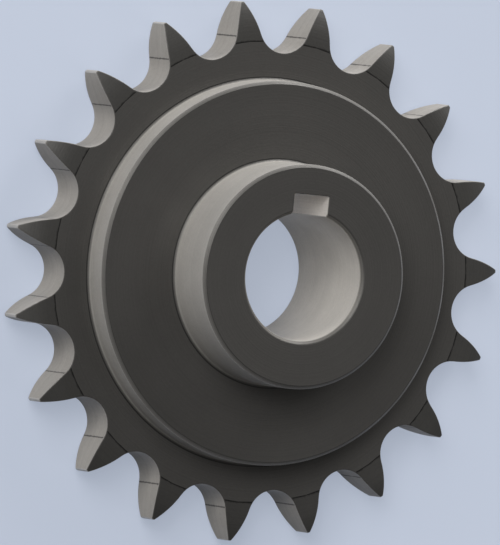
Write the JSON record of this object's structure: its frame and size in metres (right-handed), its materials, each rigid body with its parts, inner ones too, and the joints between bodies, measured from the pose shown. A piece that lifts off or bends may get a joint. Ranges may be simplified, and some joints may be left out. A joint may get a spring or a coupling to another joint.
{
  "type": "chain sprocket",
  "caption": "Toothed wheel for a single roller chain, with a low step disc, a cylindrical hub on one side and a keyed through bore.",
  "frame": {"origin": "on the bore axis, at the back face of the toothed plate", "axes": "+Z along the bore axis towards the hub's nose; +Y through the keyway and the middle of a tooth gap"},
  "size_m": [0.0842, 0.084, 0.022],
  "materials": {
    "machined_steel": "turned and milled steel, dark and semi-gloss, with fine tool marks and brighter broken edges"
  },
  "bodies": {
    "root": {"sprocket": "machined_steel"}
  },
  "joints": []
}
